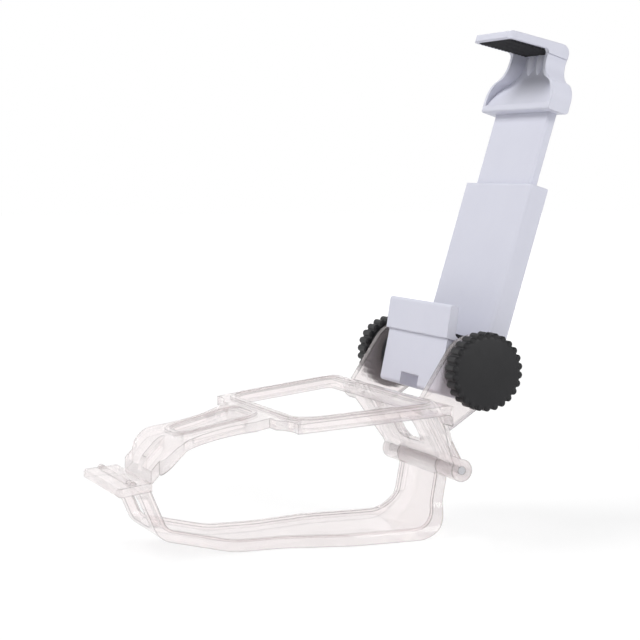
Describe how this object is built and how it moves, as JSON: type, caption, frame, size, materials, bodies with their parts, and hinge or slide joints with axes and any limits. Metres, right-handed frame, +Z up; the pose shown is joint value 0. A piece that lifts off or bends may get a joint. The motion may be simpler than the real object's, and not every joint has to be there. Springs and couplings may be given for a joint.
{
  "type": "controller phone clip",
  "caption": "Clear cradle that straps round a game controller and carries a tilting phone clamp between two toothed knobs.",
  "frame": {"origin": "centre of the strap's flat underside, which rests on the table", "axes": "+X to the player's right, along the cross bolt; +Y away from the player; +Z up"},
  "size_m": [0.0704, 0.1253, 0.1309],
  "materials": {
    "clear_plastic": "clear moulded polycarbonate with polished faces",
    "pale_plastic": "pale lilac grey moulded plastic, satin",
    "black_plastic": "charcoal moulded plastic, fine texture",
    "dark_rubber": "soft dark rubber",
    "steel": "zinc plated steel"
  },
  "bodies": {
    "cradle": {"cradle_frame": "clear_plastic", "hinge_pin": "steel", "washer_right": "steel", "washer_left": "steel"},
    "strap": {"strap": "clear_plastic"},
    "clamp": {"clamp_housing": "pale_plastic", "clamp_cover": "pale_plastic", "cover_screws": "steel", "shelf_pad": "dark_rubber", "leaf_spring": "steel", "friction_ring_right": "dark_rubber", "friction_ring_left": "dark_rubber"},
    "jaw": {"slider_plate": "pale_plastic", "slider_stop": "black_plastic", "upper_jaw": "pale_plastic", "jaw_pad": "dark_rubber", "jaw_screws": "steel"},
    "left_knob": {"knob_left": "black_plastic", "cross_bolt": "steel"},
    "right_knob": {"knob_right": "black_plastic", "knob_nut": "steel"}
  },
  "joints": [
    {"name": "strap_hinge", "type": "hinge", "parent": "cradle", "child": "strap", "pos_m": [0, 0.0326, 0.0184], "axis": [1, 0, 0], "range_deg": [0, 100]},
    {"name": "clamp_tilt", "type": "hinge", "parent": "cradle", "child": "clamp", "pos_m": [0, 0.0354, 0.0444], "axis": [1, 0, 0], "range_deg": [-75, 80]},
    {"name": "jaw_slide", "type": "slide", "parent": "clamp", "child": "jaw", "axis": [0, 0.2924, 0.9563], "range_m": [-0.019, 0.009]},
    {"name": "left_knob_turn", "type": "hinge", "parent": "cradle", "child": "left_knob", "pos_m": [0, 0.0354, 0.0444], "axis": [1, 0, 0], "continuous": true},
    {"name": "right_knob_turn", "type": "hinge", "parent": "cradle", "child": "right_knob", "pos_m": [0, 0.0354, 0.0444], "axis": [1, 0, 0], "continuous": true}
  ]
}
